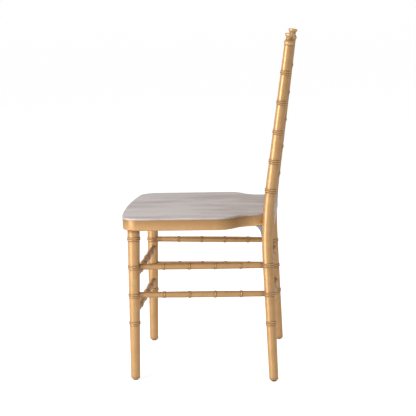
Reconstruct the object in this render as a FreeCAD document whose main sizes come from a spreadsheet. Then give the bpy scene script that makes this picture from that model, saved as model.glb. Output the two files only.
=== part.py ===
import FreeCAD, Part
import math
import os
import Sketcher

# A wooden chiavari side chair: turned bamboo-ring legs, stretchers and back, and a bare board seat.
# Millimetres. The front of the chair faces -Y, +X is the sitter's left, the floor is z = 0,
# and x = 0 is the middle plane that the two sides mirror in.

V = FreeCAD.Vector
doc = FreeCAD.newDocument("ChiavariChair")
sizes = doc.addObject("Spreadsheet::Sheet", "Sizes")

SIZES = [
    # seat
    ("seat_height", 447.5, "floor to the top of the seat board"),
    ("board_thickness", 5.0, "seat board"),
    ("board_overhang", 1.5, "board past the frame all round"),
    ("frame_height", 29.0, "seat frame rails, top to bottom"),
    ("frame_edge_chamfer", 2.0, "lower outer edge of the rails"),
    ("seat_width", 396.0, "frame across the front and sides"),
    ("seat_front", 237.2, "origin to the middle of the front edge"),
    ("front_bow", 9.0, "how far the front edge curves back at the corners"),
    ("corner_radius", 42.0, "front corners of the seat"),
    ("waist_width", 296.0, "seat across the narrow rear part"),
    ("narrowing_start", 26.0, "where the sides begin to draw in"),
    ("narrowing_end", 125.0, "where they are straight again"),
    ("front_rail_width", 46.0, "front rail, front to back"),
    ("side_rail_width", 56.0, "side rail at the front corner"),
    ("side_rail_rear_width", 34.0, "side rail where it meets the post"),
    ("rear_rail_width", 30.0, "rear rail, front to back"),
    # front legs
    ("leg_foot_x", 183.0, "middle plane to the foot"),
    ("leg_foot_front", 207.0, "origin to the foot, forwards"),
    ("leg_top_x", 179.5, "middle plane to the leg under the frame"),
    ("leg_top_front", 190.5, "origin to the leg under the frame, forwards"),
    ("leg_top_radius", 16.5, "leg under the frame"),
    ("leg_foot_radius", 12.3, "leg above the rounded foot"),
    ("leg_ring_height", 158.5, "floor to the lowest ring of the front leg"),
    ("leg_ring_drop", 23.4, "underside of the frame to the highest ring of the front leg"),
    ("leg_tenon_radius", 9.0, "round tenon in the seat frame"),
    ("leg_tenon_length", 20.0, "round tenon in the seat frame"),
    # back posts, each in one piece from the floor to the finial
    ("post_foot_x", 195.0, "middle plane to the rear foot"),
    ("post_foot_back", 169.0, "origin to the rear foot"),
    ("knee_x", 149.5, "middle plane to the corner point of the bend"),
    ("knee_back", 155.3, "origin to the corner point of the bend"),
    ("knee_drop", 32.5, "top of the seat down to the corner point of the bend"),
    ("post_top_x", 168.0, "middle plane to the top of the post"),
    ("post_top_back", 227.8, "origin to the top of the post"),
    ("overall_height", 920.0, "floor to the top of the finials"),
    ("bend_reach", 88.0, "corner point to each end of the bend"),
    ("post_radius", 14.5, "post through the bend"),
    ("post_foot_radius", 12.1, "post above the rounded foot"),
    ("post_neck_radius", 11.3, "post below the collar"),
    ("post_ring_lower", 3.0, "rings of the rear leg below those of the front leg"),
    ("back_ring_rise", 62.9, "top of the seat to the first ring above it"),
    ("back_ring_drop", 100.8, "top of the finial to the highest ring"),
    ("collar_drop", 25.0, "top of the finial to the middle of the collar"),
    ("finial_neck_radius", 8.8, "thin neck over the collar"),
    ("finial_radius", 12.6, "flared top"),
    ("finial_thickness", 6.0, "flared top"),
    ("finial_flare", 4.0, "cone under the flared top"),
    # rings
    ("ring_half", 6.5, "half the height of a ring on legs and posts"),
    ("ring_proud", 2.2, "ring past the leg"),
    ("small_ring_half", 5.0, "half the width of a ring on the thin members"),
    ("small_ring_proud", 1.9, "ring past the thin members"),
    # feet
    ("foot_rounding", 5.0, "height of the rounded foot"),
    ("foot_end_radius", 8.6, "wood at the very bottom"),
    ("glide_radius", 7.4, "floor glide"),
    ("glide_height", 3.0, "floor glide"),
    ("glide_chamfer", 0.8, "lower edge of the glide"),
    # stretchers
    ("stretcher_radius", 8.4, "stretcher at mid length"),
    ("stretcher_end_radius", 7.6, "stretcher in its socket"),
    ("stretcher_ring_pitch", 68.5, "ring to ring on the stretchers"),
    ("side_lower_rise", 1.8, "rear end of the lower side stretchers above its ring"),
    ("front_upper_drop", 24.9, "upper front and rear stretchers below the upper side ones"),
    ("front_lower_drop", 47.7, "lower front and rear stretchers below the lower side ones"),
    # back
    ("crest_drop", 46.0, "top of the finial to the crest rail"),
    ("rail_radius", 8.8, "back rails at mid length"),
    ("rail_end_radius", 7.0, "back rails in their sockets"),
    ("spindle_radius", 5.4, "spindles at mid length"),
    ("spindle_end_radius", 4.6, "spindles in their sockets"),
    ("spindle_pitch_low", 38.5, "spindle to spindle at the lower rail"),
    ("spindle_pitch_high", 43.0, "spindle to spindle at the crest rail"),
    # joints
    ("socket_clearance", 0.1, "round tenon to its socket"),
    ("socket_depth", 10.0, "tenon into a leg or post"),
    ("spindle_depth", 5.0, "spindle into a rail"),
    ("post_clearance", 0.35, "seat frame to the post"),
    ("board_clearance", 0.8, "board notch to the post"),
    # corner brackets under the seat
    ("bracket_plate", 2.0, "steel thickness"),
    ("bracket_width", 13.0, "across the bracket"),
    ("bracket_set_in", 0.5, "bracket in from the outer face of the rail"),
    ("bracket_reach", 15.0, "arm under the side rail"),
    ("bracket_drop", 28.0, "arm down the post"),
    ("screw_radius", 1.4, "shank of the bracket screws"),
    ("screw_length", 14.0, "shank of the bracket screws"),
    ("screw_head_radius", 2.4, "pan head"),
    ("screw_head_height", 1.6, "pan head"),
]
for row, (alias, value, note) in enumerate(SIZES, 1):
    sizes.set(f"A{row}", alias)
    sizes.set(f"B{row}", str(value))
    sizes.set(f"C{row}", note)
    sizes.setAlias(f"B{row}", alias)
doc.recompute()


def value_of(expression):
    """A number, from a number or from an expression in the sheet's names."""
    if isinstance(expression, str):
        return float(sizes.evalExpression(expression))
    return float(expression)


def S(alias):
    return value_of("Sizes." + alias)


def between(first, last, share):
    """The expression for a size that lies part of the way from one named size to another."""
    return f"Sizes.{first} + (Sizes.{last} - Sizes.{first}) * {share:.6f}"


# Sketches and turned pieces


def plane_of(body, role):
    return [f for f in body.Origin.OriginFeatures if f.Role == role][0]


def sketch_on(body, role, name, offset=None):
    sketch = body.newObject("Sketcher::SketchObject", name)
    sketch.AttachmentSupport = [(plane_of(body, role), "")]
    sketch.MapMode = "FlatFace"
    if offset is not None:
        sketch.AttachmentOffset = offset
    return sketch


def fix(sketch, kind, line, point, expression):
    """Hold one coordinate of a sketch point at a distance from the sketch's origin."""
    value = value_of(expression)
    if abs(value) < 1e-9:
        axis = -2 if kind == "DistanceX" else -1
        sketch.addConstraint(Sketcher.Constraint("PointOnObject", line, point, axis))
        return
    index = sketch.addConstraint(Sketcher.Constraint(kind, -1, 1, line, point, value))
    if isinstance(expression, str):
        sketch.setExpression(f"Constraints[{index}]", expression)


def outline(sketch, corners, arcs=None):
    """A closed outline through corners of (x, y), each a number or an expression.

    arcs maps the number of a corner to the middle point of the arc that starts there.
    """
    arcs = arcs or {}
    points = [V(value_of(x), value_of(y), 0) for x, y in corners]
    count = len(points)
    # A sketch's arcs run anticlockwise, so one that turns the other way is held by its far end.
    first = []
    for i, start in enumerate(points):
        end = points[(i + 1) % count]
        if i not in arcs:
            sketch.addGeometry(Part.LineSegment(start, end), False)
            first.append(1)
            continue
        middle = V(value_of(arcs[i][0]), value_of(arcs[i][1]), 0)
        if (middle - start).cross(end - middle).z > 0:
            sketch.addGeometry(Part.Arc(start, middle, end), False)
            first.append(1)
        else:
            sketch.addGeometry(Part.Arc(end, middle, start), False)
            first.append(2)
    for i in range(count):
        j = (i + 1) % count
        sketch.addConstraint(Sketcher.Constraint("Coincident", i, 3 - first[i], j, first[j]))
    for i, (x, y) in enumerate(corners):
        fix(sketch, "DistanceX", i, first[i], x)
        fix(sketch, "DistanceY", i, first[i], y)
    for i in arcs:
        sketch.addConstraint(Sketcher.Constraint("Radius", i, sketch.Geometry[i].Radius))


def many_sided(obj, sides, radius):
    """Give a polygon or prism the mean radius of the round piece that it stands for."""
    obj.Polygon = sides
    gain = 2 / (1 + math.cos(math.pi / sides))
    obj.setExpression("Circumradius", f"({radius}) * {gain:.5f}")


def turning(name, sections, sides):
    """A turned piece: a ruled loft through many-sided sections.

    sections are (placement, radius as an expression), in order along the axis.
    """
    polygons = []
    for index, (placement, radius) in enumerate(sections):
        polygon = doc.addObject("Part::RegularPolygon", f"{name}_section_{index}")
        many_sided(polygon, sides, radius)
        polygon.Placement = placement
        polygons.append(polygon)
    loft = doc.addObject("Part::Loft", name + "_turning")
    loft.Sections = polygons
    loft.Solid = True
    loft.Ruled = True
    loft.Linearize = True
    return loft


def spaced(rows, start, turned):
    """Sections from rows of (distance, radius), measured from start along the turned Z axis."""
    step = turned.multVec(V(0, 0, 1))
    return [(FreeCAD.Placement(start + step * value_of(distance), turned), radius)
            for distance, radius in rows]


def lean(start, end):
    """The rotation of a piece whose own Z axis runs from start towards end."""
    return FreeCAD.Rotation(V(0, 0, 1), end - start)


def ringed(start, end, taper, rings, half, proud):
    """Profile rows from start to end with a turned ring at each height in rings.

    taper gives the radius, as an expression, at a height.
    """
    rows = [(start, taper(start))]
    for height in rings:
        rows.append((height - half, taper(height - half)))
        rows.append((height - half * 0.3, f"{taper(height)} + Sizes.{proud}"))
        rows.append((height + half * 0.3, f"{taper(height)} + Sizes.{proud}"))
        rows.append((height + half, taper(height + half)))
    rows.append((end, taper(end)))
    return rows


def point_at_height(start, end, height):
    return start + (end - start) * ((height - start.z) / (end.z - start.z))


# Turned pieces are drawn with this many flats.
LEG_SIDES = 16
STICK_SIDES = 12
SPINDLE_SIDES = 10
SCREW_SIDES = 6

# Room past the end of a tenon, a length that clears the wall of what is bored, and the blocks
# that cut legs off level.
END_GAP = 0.2
BORE = 24
TRIM_WIDTH = 60
TRIM_DEPTH = 20

pieces = {}


def keep(obj, label):
    obj.Label = label
    pieces[label] = obj
    return obj


def cutter(name, radius, start, end, clearance, turned=None, sides=None):
    """A cutter from start to end: round, or many-sided like the piece that it makes room for."""
    obj = doc.addObject("Part::Prism" if sides else "Part::Cylinder", name)
    size = f"Sizes.{radius} + Sizes.{clearance}"
    if sides:
        many_sided(obj, sides, size)
    else:
        obj.setExpression("Radius", size)
    obj.Height = (end - start).Length
    obj.Placement = FreeCAD.Placement(start, turned or lean(start, end))
    return obj


def rod(name, radius, start, end, sides):
    """A straight many-sided rod from start to end."""
    obj = doc.addObject("Part::Prism", name)
    many_sided(obj, sides, f"Sizes.{radius}")
    obj.Height = (end - start).Length
    obj.Placement = FreeCAD.Placement(start, lean(start, end))
    return obj


def bored(base, tools, name):
    """The base with every tool taken out of it."""
    if len(tools) > 1:
        group = doc.addObject("Part::MultiFuse", name + "_bores")
        group.Shapes = tools
    else:
        group = tools[0]
    cut = doc.addObject("Part::Cut", name + "_bored")
    cut.Base = base
    cut.Tool = group
    return cut


def trim_block(name, middle):
    """A block wider than a leg, standing on its middle."""
    block = doc.addObject("Part::Box", name)
    block.Length = TRIM_WIDTH
    block.Width = TRIM_WIDTH
    block.Height = TRIM_DEPTH
    block.Placement.Base = middle - V(TRIM_WIDTH / 2, TRIM_WIDTH / 2, 0)
    return block


def floor_trim(name, foot):
    """A block that levels the end of a leaning leg for its glide."""
    block = trim_block(name, foot - V(0, 0, TRIM_DEPTH))
    block.setExpression("Height", f"Sizes.glide_height + {TRIM_DEPTH}")
    return block


def rounded_foot(radius):
    """Profile rows of a foot that rounds in to its end, from below the floor up."""
    return [
        (0, "Sizes.foot_end_radius"),
        ("Sizes.glide_height", "Sizes.foot_end_radius"),
        ("Sizes.glide_height + 0.4 * Sizes.foot_rounding",
         f"Sizes.foot_end_radius + 0.7 * (Sizes.{radius} - Sizes.foot_end_radius)"),
    ]


def mirrored(source, label):
    """The same piece on the other side of the middle plane."""
    copy = doc.addObject("Part::Mirroring", label + "_mirrored")
    copy.Source = source
    copy.Normal = V(1, 0, 0)
    copy.Base = V(0, 0, 0)
    return keep(copy, label)


# Where the legs and posts run

floor_gap = S("glide_height")
frame_top = S("seat_height") - S("board_thickness")
frame_bottom = frame_top - S("frame_height")
leg_foot = V(S("leg_foot_x"), -S("leg_foot_front"), 0)
leg_top = V(S("leg_top_x"), -S("leg_top_front"), frame_bottom)
post_foot = V(S("post_foot_x"), S("post_foot_back"), 0)
knee = V(S("knee_x"), S("knee_back"), S("seat_height") - S("knee_drop"))
post_top = V(S("post_top_x"), S("post_top_back"), S("overall_height"))

# Rings stand evenly between the lowest and the highest: four on a front leg, three on a rear leg
# at the same pitch, and five on a post above the seat.
leg_pitch = (frame_bottom - S("leg_ring_drop") - S("leg_ring_height")) / 3
leg_ring_heights = [S("leg_ring_height") + leg_pitch * k for k in range(4)]
post_ring_heights = [height - S("post_ring_lower") for height in leg_ring_heights[:3]]
back_first = S("seat_height") + S("back_ring_rise")
back_pitch = (S("overall_height") - S("back_ring_drop") - back_first) / 4
back_ring_heights = [back_first + back_pitch * k for k in range(5)]


def mirror_point(point):
    return V(-point.x, point.y, point.z)


def post_axis(height):
    """The axis of the left post, with its bend drawn as the straight lines that it rounds off."""
    if height < knee.z:
        return point_at_height(post_foot, knee, height)
    return point_at_height(knee, post_top, height)


def leg_axis(height):
    return point_at_height(leg_foot, leg_top, height)


# Thin turned members: stretchers, back rails and spindles


def thin_member(label, start, end, insets, rings, radius, end_radius, sides):
    """A straight turned stick on the line start to end, that stops inside what holds it.

    insets are how far it stops short at each end, and rings are distances from the middle of
    the line. The stick swells towards the middle.
    """
    length = (end - start).Length

    def taper(height):
        share = 1 - abs(2 * height / length - 1)
        return between(end_radius, radius, min(1, share * 1.6))

    rows = ringed(insets[0], length - insets[1], taper, [length / 2 + r for r in rings],
                  S("small_ring_half"), "small_ring_proud")
    return turning(label, spaced(rows, start, lean(start, end)), sides)


def socket(name, start, end, near, far, radius, sides):
    """A bore for the stick on the line start to end, between two distances along that line."""
    step = (end - start).normalize()
    return cutter(name, radius, start + step * near, start + step * far, "socket_clearance",
                  lean(start, end), sides)


side_rings = [S("stretcher_ring_pitch") * k for k in (-1.5, -0.5, 0.5, 1.5)]
leg_bores = []
post_bores = []


def leg_radius_at(height):
    return S("leg_foot_radius") + (S("leg_top_radius") - S("leg_foot_radius")) * height / frame_bottom


def post_radius_at(height):
    if height < knee.z:
        share = min(1, height / (knee.z - S("bend_reach")))
        return S("post_foot_radius") + (S("post_radius") - S("post_foot_radius")) * share
    bend_end = knee.z + S("bend_reach")
    collar = S("overall_height") - S("collar_drop")
    share = max(0, (height - bend_end) / (collar - bend_end))
    return S("post_radius") + (S("post_neck_radius") - S("post_radius")) * share


def tenon_inset(radius):
    """Distance from the axis of a leg to the end of a tenon in it."""
    return radius - S("socket_depth")


# The side stretchers, two a side, run from ring to ring.
for level, ring, rise in (("upper", 2, 0), ("lower", 1, S("side_lower_rise"))):
    front_z = leg_ring_heights[ring]
    rear_z = post_ring_heights[ring] + rise
    front = leg_axis(front_z)
    rear = post_axis(rear_z)
    front_inset = tenon_inset(leg_radius_at(front_z))
    rear_inset = tenon_inset(post_radius_at(rear_z))
    length = (rear - front).Length
    stick = thin_member(f"side_stretcher_{level}_left", front, rear, (front_inset, rear_inset),
                        side_rings, "stretcher_radius", "stretcher_end_radius", STICK_SIDES)
    keep(stick, f"side_stretcher_{level}_left")
    mirrored(stick, f"side_stretcher_{level}_right")
    leg_bores.append(socket(f"leg_bore_side_{level}", front, rear, front_inset - END_GAP, BORE,
                            "stretcher_end_radius", STICK_SIDES))
    post_bores.append(socket(f"post_bore_side_{level}", front, rear, length - BORE,
                             length - rear_inset + END_GAP, "stretcher_end_radius", STICK_SIDES))

# Two front and two rear stretchers, level with each other and clear of the side ones.
for level, ring in (("upper", 2), ("lower", 1)):
    height = leg_ring_heights[ring] - S(f"front_{level}_drop")
    for place, axis, radius_at, bores in (("front", leg_axis, leg_radius_at, leg_bores),
                                          ("rear", post_axis, post_radius_at, post_bores)):
        left = axis(height)
        right = mirror_point(left)
        length = (left - right).Length
        inset = tenon_inset(radius_at(height))
        turns = (-1.5, -0.5, 0.5, 1.5) if place == "front" else (-1, 0, 1)
        stick = thin_member(f"{place}_stretcher_{level}", right, left, (inset, inset),
                            [S("stretcher_ring_pitch") * k for k in turns],
                            "stretcher_radius", "stretcher_end_radius", STICK_SIDES)
        keep(stick, f"{place}_stretcher_{level}")
        bores.append(socket(f"{place}_bore_{level}", right, left, length - BORE,
                            length - inset + END_GAP, "stretcher_end_radius", STICK_SIDES))

# Back rails: the lower and middle ones at rings of the posts, the crest rail under the collars.
rail_heights = {
    "lower": back_ring_heights[0],
    "middle": back_ring_heights[4],
    "crest": S("overall_height") - S("crest_drop"),
}
spindle_low = S("spindle_pitch_low")
spindle_high = S("spindle_pitch_high")


def spindle_pitch(height):
    share = (height - rail_heights["lower"]) / (rail_heights["crest"] - rail_heights["lower"])
    return spindle_low + (spindle_high - spindle_low) * share


rails = {}
for level, height in rail_heights.items():
    left = post_axis(height)
    right = mirror_point(left)
    length = (left - right).Length
    inset = tenon_inset(post_radius_at(height))
    pitch = spindle_pitch(height)
    rails[level] = thin_member(f"back_rail_{level}", right, left, (inset, inset),
                               [-2 * pitch, 0, 2 * pitch], "rail_radius", "rail_end_radius",
                               STICK_SIDES)
    post_bores.append(socket(f"post_bore_rail_{level}", right, left, length - BORE,
                             length - inset + END_GAP, "rail_end_radius", STICK_SIDES))

# Six spindles stand in the lower and crest rails and pass through the middle one.
rail_bores = {level: [] for level in rails}
for number in range(6):
    place = number - 2.5
    low = post_axis(rail_heights["lower"])
    high = post_axis(rail_heights["crest"])
    foot = V(place * spindle_low, low.y, low.z)
    head = V(place * spindle_high, high.y, high.z)
    inset = S("rail_radius") - S("spindle_depth")
    length = (head - foot).Length
    middle = (point_at_height(foot, head, rail_heights["middle"]) - foot).Length
    name = f"spindle_{number + 1}"
    stick = thin_member(name, foot, head, (inset, inset),
                        [middle / 3 - length / 2, 2 * middle / 3 - length / 2],
                        "spindle_radius", "spindle_end_radius", SPINDLE_SIDES)
    keep(stick, name)
    for level, near, far, radius in (
            ("lower", inset - END_GAP, BORE, "spindle_end_radius"),
            ("middle", middle - BORE, middle + BORE, "spindle_radius"),
            ("crest", length - BORE, length - inset + END_GAP, "spindle_end_radius")):
        rail_bores[level].append(socket(f"{name}_bore_{level}", foot, head, near, far, radius,
                                        SPINDLE_SIDES))
for level, rail in rails.items():
    keep(bored(rail, rail_bores[level], f"back_rail_{level}"), f"back_rail_{level}")

# Front legs: straight, tapered to the foot, with a round tenon up into the seat frame.
leg_length = (leg_top - leg_foot).Length
upright = leg_length / frame_bottom


def leg_taper(height):
    return between("leg_foot_radius", "leg_top_radius", height / leg_length)


leg_rings = [height * upright for height in leg_ring_heights]
rows = rounded_foot("leg_foot_radius")
rows += ringed(floor_gap + S("foot_rounding"), leg_length + 2, leg_taper, leg_rings,
               S("ring_half"), "ring_proud")
leg_turning = turning("front_leg", spaced(rows, leg_foot, lean(leg_foot, leg_top)), LEG_SIDES)
leg_bores.append(floor_trim("leg_floor_trim", leg_foot))
leg_bores.append(trim_block("leg_shoulder_trim", leg_top))
tenon_end = leg_top + (leg_top - leg_foot).normalize() * S("leg_tenon_length")
tenon = rod("leg_tenon", "leg_tenon_radius", leg_axis(frame_bottom - 4), tenon_end, LEG_SIDES)
leg = doc.addObject("Part::Fuse", "front_leg_whole")
leg.Base = bored(leg_turning, leg_bores, "front_leg")
leg.Tool = tenon
keep(leg, "front_leg_left")
mirrored(leg, "front_leg_right")

# Back posts: turned straight below and above the seat, and bent between.
up_low = (knee - post_foot).normalize()
up_high = (post_top - knee).normalize()
bend_angle = math.degrees(up_low.getAngle(up_high))
bend_radius = S("bend_reach") / math.tan(math.radians(bend_angle) / 2)
sideways = (up_high - up_low * up_low.dot(up_high)).normalize()
across = up_low.cross(sideways)
bend_start = knee - up_low * S("bend_reach")
low_lean = lean(post_foot, knee)
high_lean = FreeCAD.Rotation(across, bend_angle).multiply(low_lean)
low_length = (knee - post_foot).Length
high_length = (post_top - knee).Length
low_scale = low_length / knee.z
high_scale = high_length / (post_top.z - knee.z)
BEND_STEPS = 5


def bent(angle):
    """The point of the post's axis at an angle round the bend, in degrees."""
    turn = math.radians(angle)
    return bend_start + (up_low * math.sin(turn) + sideways * (1 - math.cos(turn))) * bend_radius


def bent_axis(height):
    """The point of the post's axis at a height inside the bend."""
    low, high = 0.0, bend_angle
    for _ in range(40):
        angle = (low + high) / 2
        if bent(angle).z < height:
            low = angle
        else:
            high = angle
    return bent(low)


def low_taper(height):
    return between("post_foot_radius", "post_radius", height / (low_length - S("bend_reach")))


def high_taper(height):
    return between("post_radius", "post_neck_radius",
                   (height - S("bend_reach")) / (collar_height - S("bend_reach")))


low_rings = [height * low_scale for height in post_ring_heights]
rows = rounded_foot("post_foot_radius")
rows += ringed(floor_gap + S("foot_rounding"), low_length - S("bend_reach"), low_taper,
               low_rings, S("ring_half"), "ring_proud")
post_sections = spaced(rows, post_foot, low_lean)
for step in range(1, BEND_STEPS):
    angle = bend_angle * step / BEND_STEPS
    turned = FreeCAD.Rotation(across, angle).multiply(low_lean)
    post_sections.append((FreeCAD.Placement(bent(angle), turned), "Sizes.post_radius"))

collar_height = high_length - S("collar_drop")
high_rings = [(height - knee.z) * high_scale for height in back_ring_heights]
rows = ringed(S("bend_reach"), collar_height - S("ring_half"), high_taper, high_rings,
              S("ring_half"), "ring_proud")
finial_foot = high_length - S("finial_thickness") - S("finial_flare")
rows += [
    (collar_height, "Sizes.post_neck_radius + Sizes.ring_proud"),
    (collar_height + S("ring_half"), "Sizes.finial_neck_radius"),
    (finial_foot, "Sizes.finial_neck_radius"),
    (finial_foot + S("finial_flare"), "Sizes.finial_radius"),
    (high_length - 2, "Sizes.finial_radius"),
    (high_length, "Sizes.finial_radius * 0.72"),
]
post_sections += spaced(rows, knee, high_lean)
post_turning = turning("back_post", post_sections, LEG_SIDES)


# Seat frame

half_width = "Sizes.seat_width / 2"
half_waist = "Sizes.waist_width / 2"
frame_middle = (frame_top + frame_bottom) / 2
post_at_seat = bent_axis(frame_middle)
joint_back = post_at_seat.y - S("post_radius")
draw_in = (S("seat_width") - S("waist_width")) / 2
draw_length = S("narrowing_end") - S("narrowing_start")
curve_radius = (draw_in**2 + draw_length**2) / (4 * draw_in)
curve_angle = math.asin(draw_length / 2 / curve_radius)


def seat_side(grow):
    """The left edge from the front corner back to the waist: corners, and arc middles by corner.

    grow is how far the edge lies outside the frame.
    """
    half_seat = S("seat_width") / 2
    radius = S("corner_radius")
    start = S("narrowing_start")
    end = S("narrowing_end")
    corner_x = half_seat - radius
    corner_y = S("front_bow") - S("seat_front") + radius
    turn_x = half_seat - draw_in / 2 + grow * math.cos(curve_angle)
    turn_y = (start + end) / 2 + grow * math.sin(curve_angle)
    outer = curve_radius + grow
    inner = curve_radius - grow
    half_turn = curve_angle / 2
    corners = [
        (f"{half_width} - Sizes.corner_radius", f"Sizes.front_bow - Sizes.seat_front - {grow}"),
        (f"{half_width} + {grow}", "Sizes.front_bow - Sizes.seat_front + Sizes.corner_radius"),
        (f"{half_width} + {grow}", "Sizes.narrowing_start"),
        (turn_x, turn_y),
        (f"{half_waist} + {grow}", "Sizes.narrowing_end"),
    ]
    reach = (radius + grow) * math.sqrt(0.5)
    arcs = {
        0: (corner_x + reach, corner_y - reach),
        2: (half_seat - curve_radius + outer * math.cos(half_turn), start + outer * math.sin(half_turn)),
        3: (half_seat - draw_in + curve_radius - inner * math.cos(half_turn),
            end - inner * math.sin(half_turn)),
    }
    return corners, arcs


def slab(label, height, corners, arcs, base):
    """A flat piece of one outline, its underside at the height base."""
    body = doc.addObject("PartDesign::Body", label + "_body")
    sketch = sketch_on(body, "XY_Plane", label + "_outline")
    outline(sketch, corners, arcs)
    pad = body.newObject("PartDesign::Pad", label + "_pad")
    pad.Profile = sketch
    pad.setExpression("Length", f"Sizes.{height}")
    sketch.Visibility = False
    body.Placement.Base = V(0, 0, base)
    doc.recompute()
    return body, pad


def bevel(body, feature, size, wanted):
    """Bevel the edges of the feature that pass the test."""
    names = [f"Edge{i}" for i, edge in enumerate(feature.Shape.Edges, 1) if wanted(edge.BoundBox)]
    chamfer = body.newObject("PartDesign::Chamfer", body.Name + "_Chamfer")
    chamfer.Base = (feature, names)
    chamfer.setExpression("Size", f"Sizes.{size}")
    body.Tip = chamfer
    doc.recompute()


def post_notch(name, clearance, side=1):
    """A round cutter about the post where it passes the seat."""
    low = bent_axis(frame_bottom - 12)
    high = bent_axis(frame_top + 12)
    middle = bent_axis(frame_middle)
    shift = middle - (low + high) / 2
    low = low + shift
    high = high + shift
    if side < 0:
        low, high = mirror_point(low), mirror_point(high)
    return cutter(name, "post_radius", low, high, clearance)


# Two faces this close lie together, and the side rail's inner edges start within this much of
# its inner corner.
TOUCH = 0.01
INNER_EDGE_ROOM = 8

# The front rail is mitred into the side rails at the corners.
edge, edge_arcs = seat_side(0)
front_inner_x = "Sizes.seat_width / 2 - Sizes.side_rail_width"
front_inner_y = "Sizes.front_rail_width - Sizes.seat_front"
front_rail, front_pad = slab(
    "seat_rail_front", "frame_height",
    [("-(" + front_inner_x + ")", front_inner_y), ("-(" + edge[0][0] + ")", edge[0][1]), edge[0],
     (front_inner_x, front_inner_y)],
    {1: (0, -S("seat_front"))}, frame_bottom)
bevel(front_rail, front_pad, "frame_edge_chamfer",
      lambda box: box.ZMax < TOUCH and box.YMin < -S("seat_front") + 1)
keep(front_rail, "seat_rail_front")

# Each side rail carries the front corner and draws in with a double curve to butt on the post.
side_rail, side_pad = slab(
    "seat_rail_left", "frame_height",
    [(front_inner_x, front_inner_y)] + edge
    + [(half_waist, joint_back), (f"{half_waist} - Sizes.side_rail_rear_width", joint_back)],
    {i + 1: middle for i, middle in edge_arcs.items()}, frame_bottom)
inner_limit = S("seat_width") / 2 - S("side_rail_width")


def under_outer_edge(box):
    """Whether an edge of the side rail runs along its underside on the outer side."""
    ends_at_post = box.YMin > joint_back - TOUCH
    return box.ZMax < TOUCH and box.XMin > inner_limit + INNER_EDGE_ROOM and not ends_at_post


bevel(side_rail, side_pad, "frame_edge_chamfer", under_outer_edge)
leg_axis_top = leg_axis(frame_bottom + S("leg_tenon_length") + 1)
tenon_bore = cutter("seat_bore_leg", "leg_tenon_radius", leg_axis(frame_bottom - 5), leg_axis_top,
                    "socket_clearance", lean(leg_foot, leg_top), LEG_SIDES)

# The rear rail stands between the posts, hollowed at each end to fit them.
rear_end = S("knee_x") - 0.5 * S("post_radius")
frame_back = f"{joint_back} + Sizes.rear_rail_width"
rear_rail, rear_pad = slab(
    "seat_rail_rear", "frame_height",
    [(-rear_end, joint_back), (rear_end, joint_back), (rear_end, frame_back), (-rear_end, frame_back)],
    {}, frame_bottom)
keep(bored(rear_rail, [post_notch("rear_rail_notch_left", "post_clearance"),
                       post_notch("rear_rail_notch_right", "post_clearance", -1)], "seat_rail_rear"),
     "seat_rail_rear")

# Seat board: one flat board over the frame, notched round the posts.
over = S("board_overhang")
board_edge, board_arcs = seat_side(over)
notch_x = post_at_seat.x - S("post_radius") - S("board_clearance")
notch_y = post_at_seat.y - 0.5 * S("post_radius")
left_corners = board_edge + [
    (f"{half_waist} + {over}", notch_y),
    (notch_x, notch_y),
    (notch_x, f"{frame_back} + {over}"),
]


def flipped(x):
    return f"-({x})" if isinstance(x, str) else -x


count = len(left_corners)
right_corners = [(flipped(x), y) for x, y in reversed(left_corners)]
board_middles = dict(board_arcs)
for index, (x, y) in board_arcs.items():
    board_middles[2 * count - 2 - index] = (-x, y)
board_middles[2 * count - 1] = (0, -S("seat_front") - over)
board, board_pad = slab("seat_board", "board_thickness", left_corners + right_corners,
                        board_middles, frame_top)
keep(bored(board, [post_notch("board_notch_left", "board_clearance"),
                   post_notch("board_notch_right", "board_clearance", -1)], "seat_board"),
     "seat_board")

# Steel corner brackets under the seat, where the side rails meet the posts.
bracket_low = frame_bottom - S("bracket_drop")
post_face = min(bent_axis(z).y for z in (bracket_low, frame_bottom)) - S("post_radius") - 0.1
bracket_middle = S("waist_width") / 2 - S("bracket_set_in") - S("bracket_width") / 2
bracket_corner = V(bracket_middle, post_face, frame_bottom)
bracket = doc.addObject("PartDesign::Body", "corner_bracket_body")
plate_sketch = sketch_on(bracket, "YZ_Plane", "bracket_angle")
outline(plate_sketch, [
    (0, 0), (0, "-Sizes.bracket_drop"), ("-Sizes.bracket_plate", "-Sizes.bracket_drop"),
    ("-Sizes.bracket_plate", "-Sizes.bracket_plate"), ("-Sizes.bracket_reach", "-Sizes.bracket_plate"),
    ("-Sizes.bracket_reach", 0)])
angle_pad = bracket.newObject("PartDesign::Pad", "bracket_plates")
angle_pad.Profile = plate_sketch
angle_pad.setExpression("Length", "Sizes.bracket_width")
angle_pad.Midplane = True
web_sketch = sketch_on(bracket, "YZ_Plane", "bracket_web")
WEB_HOLLOW = 0.36
outline(web_sketch, [
    ("-0.5 * Sizes.bracket_plate", "-0.5 * Sizes.bracket_plate"),
    ("-0.5 * Sizes.bracket_plate", "-Sizes.bracket_drop"),
    ("-Sizes.bracket_plate", "-Sizes.bracket_drop"),
    ("-Sizes.bracket_reach", "-Sizes.bracket_plate"),
    ("-Sizes.bracket_reach", "-0.5 * Sizes.bracket_plate")],
    {2: (-S("bracket_plate") - WEB_HOLLOW * (S("bracket_reach") - S("bracket_plate")),
         -S("bracket_plate") - WEB_HOLLOW * (S("bracket_drop") - S("bracket_plate")))})
web_pad = bracket.newObject("PartDesign::Pad", "bracket_rib")
web_pad.Profile = web_sketch
web_pad.setExpression("Length", "Sizes.bracket_plate")
web_pad.Midplane = True
bracket.Placement.Base = bracket_corner
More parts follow.
